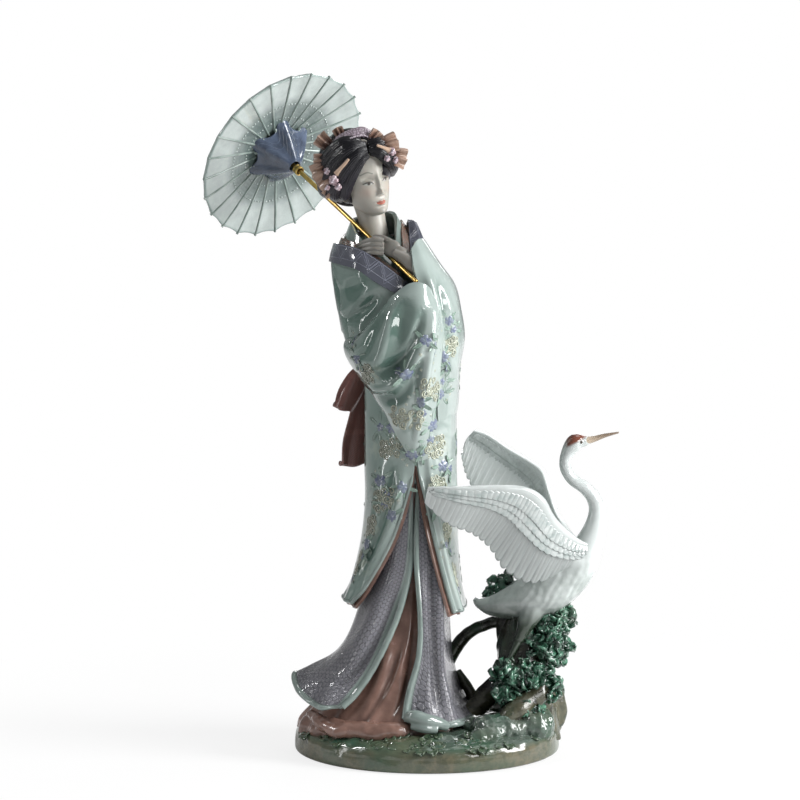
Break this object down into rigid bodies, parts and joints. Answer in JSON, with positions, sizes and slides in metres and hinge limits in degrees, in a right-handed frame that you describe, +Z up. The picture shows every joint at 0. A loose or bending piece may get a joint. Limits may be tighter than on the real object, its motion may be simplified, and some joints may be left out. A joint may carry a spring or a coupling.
{
  "type": "porcelain figurine",
  "caption": "Glazed porcelain figurine of a robed woman holding an open parasol beside a crane on a mossy stump, all on an oval ground.",
  "frame": {"origin": "middle of the flat underside of the oval ground", "axes": "+Z up; -Y towards the viewer of the figurine's front; +X towards the side where the crane stands"},
  "size_m": [0.2598, 0.178, 0.4212],
  "materials": {
    "robe_glaze": "gloss",
    "underskirt_glaze": "gloss",
    "lining_glaze": "gloss",
    "sash_glaze": "satin",
    "collar_glaze": "gloss",
    "bisque": "matte",
    "hair_glaze": "satin",
    "ornament_glaze": "satin",
    "crane_glaze": "gloss",
    "stump_glaze": "gloss",
    "moss_glaze": "gloss",
    "ground_glaze": "gloss",
    "parasol_glaze": "gloss",
    "tent_glaze": "gloss",
    "brass": "gloss"
  },
  "bodies": {
    "root": {"porcelain_group": "robe_glaze", "parasol_canopy": "parasol_glaze", "rod_ferrule": "brass", "parasol_rod": "brass"}
  },
  "joints": []
}
